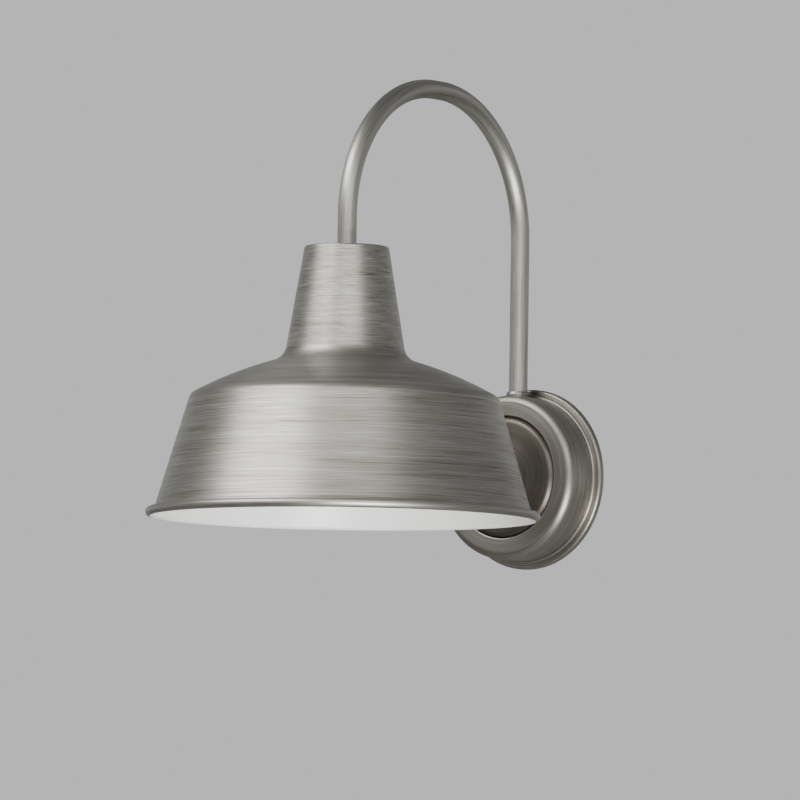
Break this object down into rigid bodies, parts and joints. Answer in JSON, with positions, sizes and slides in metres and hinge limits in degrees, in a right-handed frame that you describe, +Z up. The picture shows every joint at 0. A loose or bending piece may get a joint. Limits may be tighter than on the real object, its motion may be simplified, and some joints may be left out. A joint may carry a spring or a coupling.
{
  "type": "gooseneck wall sconce",
  "caption": "Wall light: a round spun back plate, a tube bent over in two quarter turns and a spun dome shade that faces down over a screw-in lamp.",
  "frame": {"origin": "centre of the back plate on the wall", "axes": "+Z up, +Y into the wall, -Y out to the shade, +X right"},
  "size_m": [0.2596, 0.34, 0.3215],
  "materials": {
    "pewter": "spun and brushed, with a dark antique tone rubbed back",
    "foam": "closed-cell foam, matte",
    "zinc_steel": "zinc plated",
    "green_steel": "green dyed zinc",
    "brass": "plain brass",
    "porcelain": "white glaze",
    "opal_glass": "opal white",
    "lamp_metal": "rolled thread",
    "black_glass": "black vitrite",
    "black_lead": "smooth insulation",
    "white_lead": "smooth insulation",
    "green_lead": "smooth insulation",
    "tinned_copper": "tinned",
    "orange_plastic": "moulded"
  },
  "bodies": {
    "fixture": {"wall_seal": "foam", "back_plate": "pewter", "mounting_strap": "zinc_steel", "strap_nipple": "zinc_steel", "strap_nut": "zinc_steel", "canopy_screws": "zinc_steel", "ground_screw": "green_steel", "arm_tube": "pewter", "arm_collar": "pewter", "arm_nipple": "zinc_steel", "arm_washer": "zinc_steel", "arm_lock_washer": "zinc_steel", "arm_nut": "zinc_steel", "shade": "pewter", "shade_nipple": "zinc_steel", "shade_washer": "zinc_steel", "shade_nut": "zinc_steel", "holder_cap": "zinc_steel", "holder_body": "porcelain", "screw_shell": "brass", "centre_contact": "brass", "holder_screws": "zinc_steel", "terminal_screws": "brass", "line_lead": "black_lead", "neutral_lead": "white_lead", "ground_lead": "green_lead", "ring_terminal": "tinned_copper", "wire_connectors": "orange_plastic"},
    "cover_slide": {"cover_hub": "brass"},
    "cover": {"cover_disc": "pewter"},
    "bulb_slide": {"bulb_contact": "lamp_metal"},
    "bulb": {"bulb_glass": "opal_glass", "bulb_cap": "lamp_metal", "bulb_insulator": "black_glass"}
  },
  "joints": [
    {"name": "cover_travel", "type": "slide", "parent": "fixture", "child": "cover_slide", "axis": [0, -1, 0], "range_m": [0, 0.00566]},
    {"name": "cover_turn", "type": "hinge", "parent": "cover_slide", "child": "cover", "pos_m": [0, 0, 0], "axis": [0, -1, 0], "range_deg": [0, 2160]},
    {"name": "bulb_travel", "type": "slide", "parent": "fixture", "child": "bulb_slide", "axis": [0, 0, -1], "range_m": [0, 0.01816]},
    {"name": "bulb_turn", "type": "hinge", "parent": "bulb_slide", "child": "bulb", "pos_m": [0, -0.2102, 0], "axis": [0, 0, -1], "range_deg": [0, 1800]}
  ],
  "couplings": [
    {"joint": "cover_travel", "follows": "cover_turn", "m_per_rad": 0.00014972},
    {"joint": "bulb_travel", "follows": "bulb_turn", "m_per_rad": 0.00057757}
  ]
}
